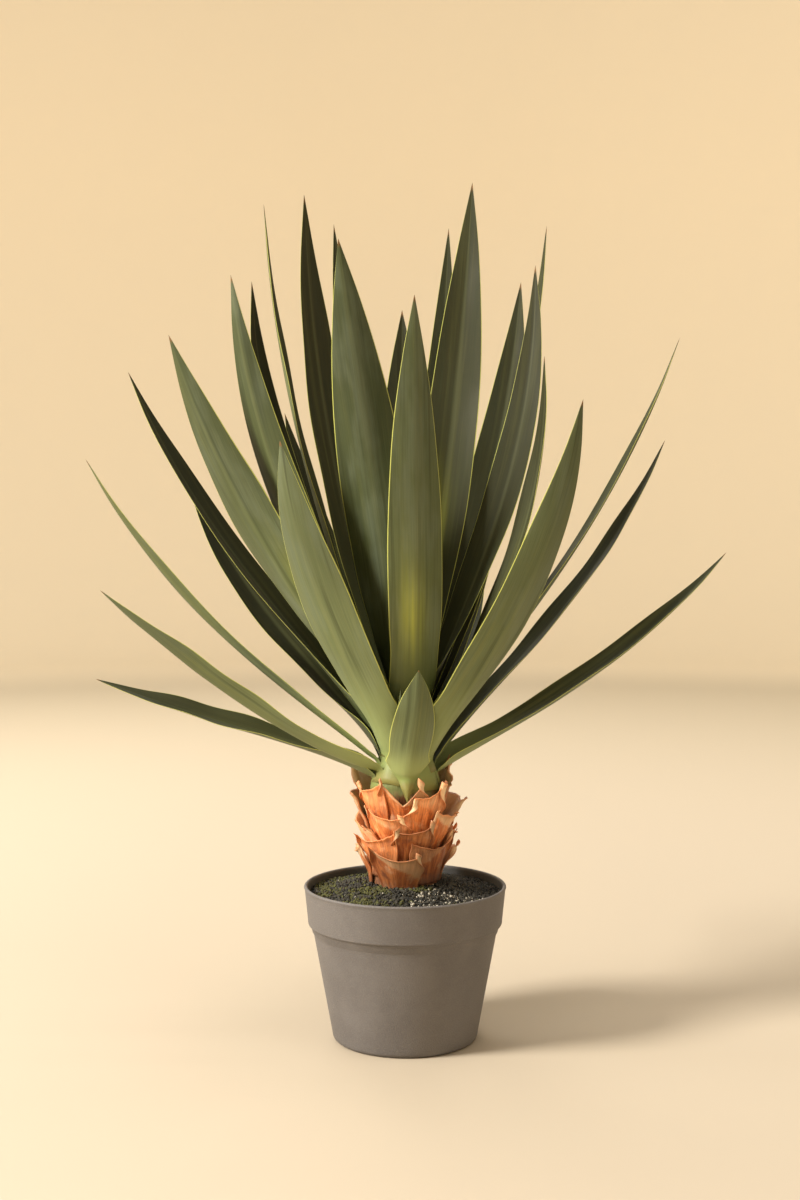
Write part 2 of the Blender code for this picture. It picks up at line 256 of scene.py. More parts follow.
class Graph:
    """A material's node tree. Its methods add nodes and return the last one's output."""

    def __init__(self, name):
        self.material = bpy.data.materials.new(name)
        self.material.use_nodes = True
        self.tree = self.material.node_tree
        self.surface = self.tree.nodes["Principled BSDF"]

    def put(self, socket, value):
        if isinstance(value, bpy.types.NodeSocket):
            self.tree.links.new(value, socket)
        elif isinstance(value, tuple) and len(value) == 3 and socket.type == "RGBA":
            socket.default_value = (*value, 1.0)
        else:
            socket.default_value = value

    def attribute(self, name):
        node = self.tree.nodes.new("ShaderNodeAttribute")
        node.attribute_name = name
        return node.outputs["Fac"]

    def place(self):
        return self.tree.nodes.new("ShaderNodeTexCoord").outputs["Object"]

    def combine(self, x, y, z):
        node = self.tree.nodes.new("ShaderNodeCombineXYZ")
        for socket, value in zip(node.inputs, (x, y, z)):
            self.put(socket, value)
        return node.outputs[0]

    def math(self, operation, a, b=0.0):
        node = self.tree.nodes.new("ShaderNodeMath")
        node.operation = operation
        self.put(node.inputs[0], a)
        self.put(node.inputs[1], b)
        return node.outputs[0]

    def times(self, a, b):
        return self.math("MULTIPLY", a, b)

    def plus(self, a, b):
        return self.math("ADD", a, b)

    def step(self, value, start, end, low=0.0, high=1.0):
        """A smooth step from low to high as the value goes from start to end."""
        node = self.tree.nodes.new("ShaderNodeMapRange")
        node.interpolation_type = "SMOOTHSTEP"
        self.put(node.inputs["Value"], value)
        self.put(node.inputs["From Min"], start)
        self.put(node.inputs["From Max"], end)
        self.put(node.inputs["To Min"], low)
        self.put(node.inputs["To Max"], high)
        return node.outputs["Result"]

    def mix(self, share, a, b, kind="MIX"):
        node = self.tree.nodes.new("ShaderNodeMix")
        node.data_type = "RGBA"
        node.blend_type = kind
        self.put(node.inputs["Factor"], share)
        self.put(node.inputs[6], a)
        self.put(node.inputs[7], b)
        return node.outputs[2]

    def shade(self, colour, factor):
        """The colour, made darker or lighter by a factor."""
        return self.mix(1.0, colour, self.combine(factor, factor, factor), "MULTIPLY")

    def noise(self, place, scale, detail=3.0, roughness=0.55, distortion=0.0):
        node = self.tree.nodes.new("ShaderNodeTexNoise")
        self.put(node.inputs["Vector"], place)
        self.put(node.inputs["Scale"], scale)
        self.put(node.inputs["Detail"], detail)
        self.put(node.inputs["Roughness"], roughness)
        self.put(node.inputs["Distortion"], distortion)
        return node.outputs["Fac"]

    def streaks(self, across, along, seed, across_scale, along_scale, detail):
        """Noise whose scale differs across a surface and along it."""
        across = self.times(across, across_scale)
        along = self.times(along, along_scale)
        return self.noise(self.combine(across, along, seed), 1.0, detail)

    def cells(self, place, scale):
        node = self.tree.nodes.new("ShaderNodeTexVoronoi")
        self.put(node.inputs["Vector"], place)
        self.put(node.inputs["Scale"], scale)
        return node.outputs["Distance"]

    def bump(self, height, distance, strength):
        node = self.tree.nodes.new("ShaderNodeBump")
        self.put(node.inputs["Height"], height)
        self.put(node.inputs["Distance"], distance)
        self.put(node.inputs["Strength"], strength)
        return node.outputs["Normal"]

    def finish(self, colour, roughness, normal=None, **sockets):
        self.put(self.surface.inputs["Base Color"], colour)
        self.put(self.surface.inputs["Roughness"], roughness)
        if normal is not None:
            self.put(self.surface.inputs["Normal"], normal)
        for name, value in sockets.items():
            self.put(self.surface.inputs[name.replace("_", " ")], value)
        return self.material


def leaf_material():
    g = Graph("leaf_skin")
    across = g.attribute("across")
    along = g.attribute("along")
    offset = g.attribute("offset")
    run = g.attribute("run")
    face = g.attribute("face")
    tone = g.attribute("tone")
    seed = g.attribute("seed")
    from_middle = g.math("ABSOLUTE", across)

    # Fibres run the blade's length as fine lines and broader soft bands; clouds lie over them.
    fine = g.streaks(offset, run, seed, 2600, 22, 3)
    bands = g.streaks(offset, run, seed, 210, 5, 2)
    clouds = g.streaks(offset, run, seed, 60, 14, 3)

    # How light the faces are is partly the skin's own colour and partly painted shade, darker on leaves
    # in the shade of others.
    lower = g.mix(tone, (0.042, 0.055, 0.019), (0.158, 0.186, 0.082))
    upper = g.mix(tone, (0.037, 0.037, 0.012), (0.056, 0.060, 0.019))
    colour = g.mix(g.step(face, -0.4, 0.4), lower, upper)
    # A grey waxy bloom lies in clouds on the skin, mostly on the lower face.
    bloom = g.times(g.step(clouds, 0.42, 0.68), g.step(face, -0.4, 0.4, 0.40, 0.05))
    colour = g.mix(bloom, colour, (0.195, 0.230, 0.148))
    # Some bands are warm and yellower, mostly on the lighter leaves, and darker ones lie between them.
    warm = g.times(g.step(bands, 0.48, 0.70), g.step(tone, 0.0, 1.0, 0.08, 0.30))
    colour = g.mix(warm, colour, (0.20, 0.205, 0.062))
    dark_bands = g.times(g.step(bands, 0.46, 0.30), 0.45)
    colour = g.mix(dark_bands, colour, (0.038, 0.046, 0.018))
    colour = g.shade(colour, g.step(fine, 0.25, 0.75, 0.86, 1.12))
    # The midrib is a soft, lighter band.
    midrib = g.times(g.step(from_middle, 0.16, 0.0), 0.14)
    colour = g.mix(midrib, colour, (0.30, 0.33, 0.15))
    # The skin deepens towards the tip.
    colour = g.shade(colour, g.step(g.plus(along, g.times(clouds, 0.25)), 0.35, 0.95, 1.08, 0.66))
    # A few leaves have a painted glow: a yellow patch standing in for light shining through the blade.
    glow = g.times(g.attribute("glow"), g.step(bands, 0.30, 0.62, 0.35, 1.0))
    colour = g.mix(glow, colour, (0.40, 0.42, 0.060))
    # Towards its base a light leaf turns pale and yellow-green.
    base = g.step(g.plus(along, g.times(bands, 0.14)), 0.40, 0.10)
    colour = g.mix(g.times(base, g.step(tone, 0.2, 1.0, 0.05, 0.85)), colour, (0.33, 0.385, 0.150))
    # The sheath is yellow-green, and its foot browner.
    sheath = g.times(g.step(along, 0.035, -0.02), g.step(tone, 0.0, 1.0, 0.45, 0.9))
    colour = g.mix(sheath, colour, (0.205, 0.245, 0.070))
    foot = g.times(g.step(along, -0.03, -0.08), 0.55)
    colour = g.mix(foot, colour, (0.23, 0.17, 0.05))
    # Painted light: the margin is painted as a thin yellow line of light shining through the thin edge,
    # from the seat to just short of the tip.
    margin = g.times(g.step(from_middle, 0.962, 0.988), g.step(along, 0.995, 0.93))
    margin = g.times(margin, g.step(along, 0.0, 0.04))
    colour = g.mix(g.times(margin, 0.8), colour, (0.56, 0.57, 0.13))
    # The tip dries to a brown spine.
    tip = g.step(g.plus(along, g.times(fine, 0.012)), 0.985, 0.997)
    colour = g.mix(tip, colour, (0.16, 0.085, 0.03))

    roughness = g.plus(g.step(clouds, 0.3, 0.7, 0.44, 0.58), g.step(face, -0.4, 0.4, 0.0, 0.14))
    relief = g.plus(g.times(fine, 0.35), bands)
    return g.finish(colour, roughness, g.bump(relief, 0.25 * MM, 0.55), Specular_IOR_Level=0.22)


def husk_material():
    g = Graph("husk_fibre")
    up = g.attribute("up")
    offset = g.attribute("offset")
    rise = g.attribute("rise")
    inside = g.attribute("inside")
    rim = g.attribute("rim")
    seed = g.attribute("seed")
    fibres = g.streaks(offset, rise, seed, 1500, 60, 4)
    streaks = g.streaks(offset, rise, seed, 330, 45, 3)
    mottle = g.streaks(offset, rise, seed, 130, 110, 4)
    specks = g.streaks(offset, rise, seed, 900, 700, 2)

    colour = g.mix(g.step(streaks, 0.30, 0.70), (0.47, 0.120, 0.032), (0.86, 0.300, 0.090))
    # Pale and dark blotches, dark specks and fine fibres lie over the orange.
    colour = g.mix(g.times(g.step(mottle, 0.52, 0.72), 0.50), colour, (0.88, 0.56, 0.32))
    colour = g.mix(g.times(g.step(mottle, 0.46, 0.30), 0.7), colour, (0.22, 0.070, 0.048))
    colour = g.mix(g.times(g.step(specks, 0.62, 0.75), 0.35), colour, (0.14, 0.06, 0.04))
    colour = g.shade(colour, g.step(fibres, 0.25, 0.75, 0.70, 1.25))
    # The inner face is pale and clean.
    cream = g.mix(fibres, (0.70, 0.42, 0.20), (0.86, 0.64, 0.40))
    colour = g.mix(g.times(inside, g.step(up, 0.1, 0.7, 0.40, 0.95)), colour, cream)
    # Painted highlight: a corner of the outer face is painted as pale as the inner face, standing in for
    # light on a folded-over corner.
    colour = g.mix(g.times(g.attribute("flap"), 0.85), colour, cream)
    # Painted light: the cut edge is painted redder, standing in for light shining through it.
    colour = g.mix(g.times(rim, 0.6), colour, (0.70, 0.20, 0.05))
    # Painted shade: the foot, tucked under the husk above, is painted dark.
    foot = g.step(g.plus(up, g.times(mottle, 0.25)), 0.46, 0.06)
    colour = g.mix(g.times(foot, 0.75), colour, (0.095, 0.034, 0.018))
    # The husks are darker towards the bottom, near the soil.
    low_darkening = g.step(g.attribute("level"), *DARKER_LOW_HUSKS, 0.50, 1.05)
    colour = g.shade(colour, g.times(low_darkening, g.attribute("tint")))

    relief = g.plus(g.times(fibres, 0.6), g.times(streaks, 1.1))
    roughness = g.step(mottle, 0.3, 0.7, 0.42, 0.66)
    return g.finish(colour, roughness, g.bump(relief, 0.45 * MM, 0.7), Specular_IOR_Level=0.45)


def stem_material():
    g = Graph("stem_fibre")
    height = g.attribute("height")
    fibres = g.streaks(g.attribute("turn"), height, 3.0, 60, 90, 4)
    mottle = g.noise(g.place(), 160, 4)
    brown = g.mix(g.step(fibres, 0.3, 0.7), (0.085, 0.030, 0.014), (0.30, 0.12, 0.045))
    brown = g.mix(g.times(g.step(mottle, 0.5, 0.7), 0.5), brown, (0.40, 0.22, 0.10))
    flesh = g.mix(fibres, (0.10, 0.12, 0.030), (0.20, 0.22, 0.07))
    green = g.step(g.plus(height, g.times(mottle, 0.012)), *STEM_GREEN)
    return g.finish(g.mix(green, brown, flesh), 0.7, g.bump(fibres, 0.5 * MM, 0.8))


def pot_material():
    g = Graph("pot_plastic")
    place = g.place()
    inside = g.attribute("inside")
    height = g.attribute("height")
    grain = g.noise(place, 1500, 2, 0.6)
    pits = g.cells(place, 1100)
    clouds = g.noise(place, 26, 4, 0.6)
    around = g.combine(g.attribute("girth"), g.times(height, 6), 0.0)
    scuffs = g.noise(around, 90, 4, 0.7, 0.6)
    colour = g.mix(g.step(clouds, 0.35, 0.65), (0.112, 0.102, 0.097), (0.140, 0.128, 0.121))
    colour = g.mix(g.times(g.step(grain, 0.40, 0.65), 0.35), colour, (0.19, 0.175, 0.165))
    dust = g.times(g.step(scuffs, 0.60, 0.76), 0.30)
    colour = g.mix(dust, colour, (0.27, 0.245, 0.225))
    # Inside, down to the soil, the wall is dark.
    colour = g.mix(inside, colour, (0.018, 0.020, 0.016))
    relief = g.plus(g.times(grain, 0.7), pits)
    roughness = g.step(clouds, 0.3, 0.7, 0.56, 0.68)
    return g.finish(colour, roughness, g.bump(relief, 0.22 * MM, 0.6), Specular_IOR_Level=0.4)


def soil_material():
    g = Graph("soil_crumbs")
    place = g.place()
    fine = g.noise(place, 1300, 4, 0.7)
    coarse = g.noise(place, 260, 3)
    colour = g.mix(g.step(coarse, 0.35, 0.65), (0.014, 0.013, 0.010), (0.050, 0.045, 0.032))
    green = g.mix(g.step(fine, 0.35, 0.65), (0.016, 0.018, 0.006), (0.13, 0.13, 0.024))
    colour = g.mix(g.attribute("moss"), colour, green)
    # Pale grains: a few pale stones, and many painted glints of sunlight at the front right.
    stone_and_glint = g.mix(fine, (0.34, 0.30, 0.22), (0.75, 0.70, 0.58))
    colour = g.mix(g.attribute("pale"), colour, stone_and_glint)
    colour = g.shade(colour, g.step(fine, 0.2, 0.8, 0.6, 1.4))
    return g.finish(colour, g.step(fine, 0.3, 0.7, 0.75, 0.95), g.bump(fine, 0.4 * MM, 0.8))


# ---------------------------------------------------------------- stem

def stem_profile():
    """Heights and radii of the CAD stem, from its foot up."""
    rings = {}
    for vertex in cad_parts["stem"].data.vertices:
        radius = math.hypot(vertex.co.x, vertex.co.y)
        rings.setdefault(round(vertex.co.z, 5), []).append(radius)
    heights = sorted(rings)
    return np.array(heights), np.array([max(rings[h]) for h in heights])


STEM_HEIGHTS, STEM_RADII = stem_profile()


def stem_radius(height):
    return float(np.interp(height, STEM_HEIGHTS, STEM_RADII))


def make_stem(material):
    low, high = STEM_HEIGHTS[0], STEM_HEIGHTS[-1]
    points, numbers = [], {}
    for row in range(STEM_ROWS):
        height = blend(low, high, row / (STEM_ROWS - 1))
        for k in range(STEM_SIDES):
            turn = 360 * k / STEM_SIDES
            place = polar(1, turn, height * 40)
            rough = noise.noise(place * 6) * 0.6 * MM + noise.noise(place * 2) * 0.8 * MM
            radius = max(stem_radius(height) + rough, 0.2 * MM)
            points.append(polar(radius, turn, height))
            note(numbers, height=height, turn=math.sin(math.radians(turn)) + turn / 90)
    faces = ring_faces(STEM_ROWS, STEM_SIDES)
    faces.append(tuple(reversed(range(STEM_SIDES))))
    faces.append(tuple(range((STEM_ROWS - 1) * STEM_SIDES, STEM_ROWS * STEM_SIDES)))
    add_piece("trunk", points, faces, material, "stem", numbers)


# ---------------------------------------------------------------- leaves

def leaf_rings(node):
    """The CAD leaf's rings of points, base to tip, and its tip."""
    body = bmesh.new()
    body.from_mesh(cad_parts[node].data)
    bmesh.ops.remove_doubles(body, verts=body.verts, dist=WELD)
    crown = Vector((0, 0, STEM_HEIGHTS[-1]))
    tip = max(body.verts, key=lambda vertex: (vertex.co - crown).length)
    seen = {tip}
    ring = [tip]
    rings = []
    while True:
        ring = list({edge.other_vert(vertex) for vertex in ring for edge in vertex.link_edges} - seen)
        if not ring:
            break
        seen.update(ring)
        rings.append([vertex.co.copy() for vertex in ring])
    place = tip.co.copy()
    body.free()
    return rings[::-1], place


def leaf_stations(node):
    """At each ring and the tip: centre, sideways direction, half width, channel depth and thickness."""
    rings, tip = leaf_rings(node)
    side = None
    found = []
    for ring in rings:
        left, right = max(itertools.combinations(ring, 2), key=lambda pair: (pair[0] - pair[1]).length)
        if side is None:
            side = polar(1, azimuth_of(left + right) + 90, 0)
        if (right - left).dot(side) < 0:
            left, right = right, left
        side = (right - left).normalized()
        # The points between the edges come in pairs, one on each face. The second pair is the middle one.
        inner = [point for point in ring if point is not left and point is not right]
        inner.sort(key=lambda point: point.dot(side))
        centre = (inner[2] + inner[3]) / 2
        found.append((centre, side, left, right, (inner[2] - inner[3]).length))
    stations = []
    for index, (centre, side, left, right, thick) in enumerate(found):
        ahead = found[index + 1][0] if index + 1 < len(found) else tip
        upper = (ahead - centre).cross(side).normalized()
        depth = ((left + right) / 2 - centre).dot(upper)
        stations.append([*centre, *side, (right - left).length / 2, depth, thick])
    stations.append([*tip, *found[-1][1], 0.0, 0.0, TIP_THICKNESS])
    return stations


def sheath_stations(first, drop, spread):
    """Two stations down the stem's side that carry on the leaf below its first one."""
    centre = Vector(first[:3])
    first_half, _, thick = first[6:9]
    azimuth = azimuth_of(centre)
    clear = math.hypot(centre.x, centre.y) - stem_radius(centre.z)
    stations = []
    for share in (1.0, 0.5):
        height = centre.z - drop * share
        around = stem_radius(height) + clear
        half = min(first_half * blend(1, spread, share), SHEATH_LIMIT * around)
        depth = around - math.sqrt(around**2 - half**2)
        place = polar(around, azimuth, height)
        stations.append([*place, *polar(1, azimuth + 90, 0), half, depth, thick])
    return stations


def leaf_habit(index):
    """How a leaf differs from its neighbours, by numbers drawn at random in this order."""
    pick = random.Random(LEAF_SEED + index)
    return SimpleNamespace(
        crease=pick.uniform(0.5, 1.0),  # from 0, a round channel, to 1, a folded one
        crease_at=pick.uniform(-0.10, 0.10),
        wave=pick.uniform(0.3, 0.9) * MM,  # how far its edges wave
        wave_turns=pick.uniform(2.0, 4.0),
        phase=pick.uniform(0, ABOUT_A_TURN),
        tone=TONES_AND_SHADE.get(index, USUAL_TONE) + pick.uniform(-0.05, 0.05),
        seed=pick.uniform(0, 50),
    )


def blade_loop():
    """Round a leaf's section: how far across, from -1 to 1, and the face, 1 upper or -1 lower."""
    profile = [-math.cos(math.pi * k / BLADE_COLUMNS) for k in range(BLADE_COLUMNS + 1)]
    return [(across, 1) for across in profile] + [(across, -1) for across in profile[-2:0:-1]]


def clasp_at(share):
    """How much wider the leaf is there than its CAD solid: most just above its seat."""
    return WIDER_BASE * smooth((share + 0.04) / 0.06) * (1 - smooth((share - 0.03) / 0.2))


def glow_at(index, share, across):
    """How strong the painted glow of light shining through the leaf is there, from 0 to 1."""
    if index not in PAINTED_GLOWS:
        return 0.0
    middle, middle_across, reach = PAINTED_GLOWS[index]
    far = ((share - middle) / reach) ** 2 + ((across - middle_across) / GLOW_REACH_ACROSS) ** 2
    return GLOW_MOST * math.exp(-far)


def make_leaf(index, material):
    node = f"leaf_{index:02d}"
    habit = leaf_habit(index)
    short = index == SHORT_LEAF
    drop, spread = (SHORT_LEAF_DROP, 1.0) if short else (SHEATH_DROP, SHEATH_SPREAD)
    own = leaf_stations(node)
    sheath = sheath_stations(own[0], drop, spread)
    stations = np.array(sheath + own)
    gaps = np.linalg.norm(np.diff(stations[:, :3], axis=0), axis=1)
    knots = np.concatenate(([0], np.cumsum(gaps)))
    seat = knots[len(sheath)]
    length = knots[-1] - seat
    foot = -seat / length
    at = knots[-1] * (1 - (1 - np.linspace(0, 1, BLADE_ROWS)) ** ROW_CROWDING)
    values, rates = spline(knots, stations, at[:-1])
    loop = blade_loop()
    points, numbers = [], {}
    for value, rate, distance in zip(values, rates, at):
        share = (distance - seat) / length
        centre = Vector(value[:3])
        travel = Vector(rate[:3]).normalized()
        side = Vector(value[3:6])
        side = (side - travel * side.dot(travel)).normalized()
        upper = travel.cross(side)
        half, depth, thick = value[6:9]
        if short and share < SHORT_LEAF_NARROWS:
            half *= max((share - foot) / (SHORT_LEAF_NARROWS - foot), 0.02) ** 0.85
        if short:
            lift_share = 1 - smooth(share / SHORT_LEAF_LIFTS)
            centre += polar(SHORT_LEAF_LIFT, azimuth_of(centre), 0) * lift_share
        clasp = clasp_at(share)
        half *= 1 + clasp
        depth *= (1 + clasp) ** 2
        deeper = smooth((share + 0.06) * 8) * smooth((1 - share) * 4)
        fold = depth * blend(1, FOLDED.get(index, USUAL_FOLD), deeper)
        creased = habit.crease * smooth(share * 4)
        flutter = habit.wave * smooth(share * 3) * smooth((1 - share) * 3)
        turn = habit.wave_turns * ABOUT_A_TURN * share + habit.phase
        for across, face in loop:
            on_edge = abs(across) > ON_THE_EDGE
            bent = abs(across - habit.crease_at * (1 - across**2))
            channel = blend(across**2, bent**1.15, creased)
            # The two edges wave out of step.
            ripple = flutter * across**2 * math.sin(turn + (1.3 if across > 0 else 0))
            body = 0 if on_edge else blend(thick, MARGIN_THICKNESS, abs(across) ** 2.2) / 2
            lift = fold * channel + ripple + face * body
            points.append(centre + side * (across * half) + upper * lift)
            note(numbers, across=across, along=share, offset=across * half, run=distance - seat,
                 face=0 if on_edge else face, tone=habit.tone, seed=habit.seed,
                 glow=glow_at(index, share, across))
    points.append(Vector(own[-1][:3]))
    note(numbers, across=0, along=1, offset=0, run=length,
         face=0, tone=habit.tone, seed=habit.seed, glow=0)
    around = len(loop)
    faces = [tuple(reversed(face)) for face in ring_faces(BLADE_ROWS - 1, around)]
    top = (BLADE_ROWS - 2) * around
    faces += [((k + 1) % around + top, k + top, len(points) - 1) for k in range(around)]
    faces.append(tuple(range(around)))
    add_piece(f"blade_{index:02d}", points, faces, material, node, numbers)


# ---------------------------------------------------------------- husks

def husk_habit(index):
    """A husk's own shape: its place from its CAD solid, the rest drawn at random in this order."""
    node = f"husk_{index:02d}"
    low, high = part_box(node)
    corners = [vertex.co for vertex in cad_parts[node].data.vertices]
    foot = low.z - HUSK_SINK
    stem = stem_radius(low.z)
    reach = max(math.hypot(corner.x, corner.y) for corner in corners) - stem
    rise = TOP_HUSK_RISE if index >= TOP_HUSKS else 0
    pick = random.Random(HUSK_SEED + index)
    return SimpleNamespace(
        azimuth=azimuth_of(sum(corners, Vector()) / len(corners)),
        split=index == SPLIT_HUSK,
        foot=foot,
        stem=stem,
        tall=high.z - foot + pick.uniform(-1, 4) * MM + rise,
        flare=reach * pick.uniform(0.42, 0.80),  # how far its top leans out
        foot_spread=pick.uniform(25, 34),  # half its width, in degrees round the stem
        top_spread=pick.uniform(28, 42),
        keel=pick.uniform(1.5, 5.0) * MM,  # how far its folded middle stands out
        keel_at=pick.uniform(-0.5, 0.5),
        notch=pick.uniform(0.08, 0.30),  # how deep its cut edge dips, as a share of its height
        tilt=pick.uniform(-0.20, 0.20),
        roll_radius=pick.uniform(1.2, 2.4) * MM,
        # Where its two corners start to roll, as a share of the half width, and how tightly they do.
        roll_from=(pick.uniform(0.50, 0.82), pick.uniform(0.50, 0.82)),
        roll_share=(pick.uniform(0.6, 1.2), pick.uniform(0.6, 1.2)),
        tint=pick.uniform(0.55, 1.12),
        flap_side=pick.choice((-1, 1)),
        # How strong the painted highlight on a folded corner is.
        flap=pick.uniform(0.0, 1.0),
        torn=pick.uniform(0.4, 1.8) * MM,  # how ragged its cut edge is
        seed=pick.uniform(0, 50),
    )


def husk_point(husk, up, across):
    """A point of a husk's middle surface: up from 0 to 1, across from -1 to 1."""
    right = across > 0
    dip = husk.notch * (1 - across**2) * up**3 - husk.tilt * across * up**3
    if husk.split:
        dip = SPLIT_DEPTH * (1 - abs(across)) ** 1.2 * up**2
    tear = noise.noise(Vector((across * 3.1, husk.seed, 4)))
    tear += 0.5 * noise.noise(Vector((across * 9, husk.seed, 0)))
    height = husk.foot + husk.tall * (up - dip) + husk.torn * tear * up**6

    sunk = HUSK_SINK / husk.tall
    lean = max(up - sunk, 0) / (1 - sunk)
    radius = husk.stem + HUSK_CLEAR + husk.flare * lean**1.15
    ridge = 1 - abs(across - husk.keel_at) / (1 + abs(husk.keel_at))
    radius += husk.keel * ridge * smooth(up * 1.6)
    radius += HUSK_WAVES * noise.noise(Vector((across * 2.2, up * 2, husk.seed)))
    crease = noise.noise(Vector((across * 1.7 + up * husk.flap_side, up * 0.8, husk.seed + 7)))
    radius += HUSK_CREASES * abs(crease) * up

    # The surface beyond roll_from rolls outwards, tighter towards the top.
    spread = math.radians(blend(husk.foot_spread, husk.top_spread, smooth(1.3 * up)))
    swing = abs(across) * spread
    start = husk.roll_from[right] * spread
    if swing > start:
        rolled = (swing - start) * radius
        angle = rolled / husk.roll_radius * smooth((up - 0.38) / 0.5) * husk.roll_share[right]
        if angle > 0.001:
            roll = rolled / angle
            swing = start + roll * math.sin(angle) / radius
            radius += roll * (1 - math.cos(angle))
    lip = max(up - HUSK_LIP_FROM, 0) / (1 - HUSK_LIP_FROM)
    radius += HUSK_LIP * lip**2
    turn = math.degrees(swing if right else -swing)
    return polar(radius, husk.azimuth + turn, height)


def husk_skins(husk, ups, acrosses):
    """The points of a husk's inner and outer skins."""
    grid = [[husk_point(husk, up, across) for across in acrosses] for up in ups]
    last_row, last_column = len(ups) - 1, len(acrosses) - 1
    inner, outer = [], []
    for row, up in enumerate(ups):
        thick = blend(HUSK_FOOT_THICKNESS, HUSK_EDGE_THICKNESS, smooth(up)) / 2
        for column in range(len(acrosses)):
            sideways = grid[row][min(column + 1, last_column)] - grid[row][max(column - 1, 0)]
            upward = grid[min(row + 1, last_row)][column] - grid[max(row - 1, 0)][column]
            normal = sideways.cross(upward).normalized()
            inner.append(grid[row][column] - normal * thick)
            outer.append(grid[row][column] + normal * thick)
    return inner, outer


def husk_faces():
    """The faces of a husk's two skins and of the edge that joins them."""
    count = HUSK_ROWS * HUSK_COLUMNS
    last = HUSK_ROWS - 1
    faces = []
    for row in range(last):
        for column in range(HUSK_COLUMNS - 1):
            corner = row * HUSK_COLUMNS + column
            square = (corner, corner + 1, corner + HUSK_COLUMNS + 1, corner + HUSK_COLUMNS)
            faces.append(tuple(count + k for k in square))
            faces.append(tuple(reversed(square)))
    border = list(range(HUSK_COLUMNS))
    border += [row * HUSK_COLUMNS + HUSK_COLUMNS - 1 for row in range(1, HUSK_ROWS)]
    border += [last * HUSK_COLUMNS + column for column in range(HUSK_COLUMNS - 2, -1, -1)]
    border += [row * HUSK_COLUMNS for row in range(last - 1, 0, -1)]
    for k, start in enumerate(border):
        end = border[(k + 1) % len(border)]
        faces.append((start, end, count + end, count + start))
    return faces


def husk_numbers(husk, ups, acrosses):
    numbers = {}
    for inside, up, across in itertools.product((1, 0), ups, acrosses):
        edge = max(up, abs(across) if up > 0.3 else 0)
        # Where the painted highlight of a folded corner lies on the outer face.
        over = up - 0.62 + 0.34 * across * husk.flap_side
        over += 0.05 * noise.noise(Vector((across * 4, up * 4, husk.seed)))
        rise = up * husk.tall
        note(numbers, up=up, offset=across * HUSK_HALF_WIDTH, rise=rise, inside=inside,
             rim=smooth((edge - 0.93) / 0.06), seed=husk.seed, level=husk.foot + rise, tint=husk.tint,
             flap=husk.flap * smooth(over / 0.05) * (1 - inside))
    return numbers


def make_husk(index, material):
    """A folded scale with a torn, dipping cut edge, whose top corners roll outwards."""
    husk = husk_habit(index)
    ups = [row / (HUSK_ROWS - 1) for row in range(HUSK_ROWS)]
    acrosses = [blend(-1, 1, column / (HUSK_COLUMNS - 1)) for column in range(HUSK_COLUMNS)]
    inner, outer = husk_skins(husk, ups, acrosses)
    numbers = husk_numbers(husk, ups, acrosses)
    points = inner + outer
    node = f"husk_{index:02d}"
    add_piece(f"scale_{index:02d}", points, husk_faces(), material, node, numbers)


# ---------------------------------------------------------------- pot

def pot_profile(rim_radius, top):
    """Radii and heights up the pot's outside and down its inside, and how many are outside."""
    band_foot = top - BAND_HEIGHT
    band_radius = rim_radius - BAND_TAPER
    body_top = top - BODY_DROP
    profile = [(0, UNDERSIDE_HOLLOW), (FOOT_RADIUS - STANDING_RING - 1 * MM, UNDERSIDE_HOLLOW)]
    profile += [(FOOT_RADIUS - STANDING_RING, 0)]
    profile += arc((FOOT_RADIUS - FOOT_ROUND, FOOT_ROUND), FOOT_ROUND, -90, -10, 8)
    for k in range(1, BODY_STEPS):
        share = k / BODY_STEPS
        height = blend(FOOT_ROUND, body_top - 2 * MM, share)
        profile.append((blend(FOOT_RADIUS, BODY_RADIUS, share), height))
    # The body turns outwards under the band in a small curve.
    for out, up in ((0.1, -1.2), (0.5, -0.3), (1.2, 0.6)):
        profile.append((BODY_RADIUS + out * MM, body_top + up * MM))
    profile.append((band_radius - 2.4 * MM, band_foot - 2.6 * MM))
    profile += arc((band_radius - BAND_ROUND, band_foot + 0.6 * MM), BAND_ROUND, -62, 4, 6)
    for k in range(1, BAND_STEPS):
        share = k / BAND_STEPS
        height = blend(band_foot + 1.2 * MM, top - 2.4 * MM, share)
        profile.append((blend(band_radius, rim_radius - 0.5 * MM, share), height))
    profile.append((rim_radius - 0.4 * MM, top - 2.0 * MM))
    profile += arc((rim_radius - LIP_ROUND, top - LIP_ROUND), LIP_ROUND, 0, 180, 12)
    inner_start = len(profile)
    profile += [(rim_radius - 3.1 * MM, top - 2.4 * MM), (band_radius - WALL, band_foot)]
    profile += [(BODY_RADIUS - WALL, body_top), (FOOT_RADIUS - WALL, 7 * MM)]
    profile += [(FOOT_RADIUS - 5 * MM, POT_FLOOR), (0, POT_FLOOR)]
    return profile, inner_start


def make_pot(material):
    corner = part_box("pot")[1]
    rim_radius, top = corner.x, corner.z
    profile, inner_start = pot_profile(rim_radius, top)
    points, numbers = [], {}
    for index, (radius, height) in enumerate(profile):
        for k in range(POT_SIDES):
            angle = 360 * k / POT_SIDES
            wobble = OUT_OF_ROUND * math.sin(math.radians(2 * angle + 40)) * (height / top)
            points.append(polar(max(radius + (wobble if radius > 0 else 0), 0.05 * MM), angle, height))
            girth = math.sin(math.radians(angle)) + 0.3 * math.cos(math.radians(3 * angle))
            note(numbers, height=height, inside=smooth((index - inner_start + 2) / 3), girth=girth)
    faces = ring_faces(len(profile), POT_SIDES)
    faces.append(tuple(reversed(range(POT_SIDES))))
    faces.append(tuple(range((len(profile) - 1) * POT_SIDES, len(profile) * POT_SIDES)))
    piece = add_piece("planter", points, faces, material, "pot", numbers)
    piece.data.set_sharp_from_angle(angle=math.radians(SHARP_ANGLE))


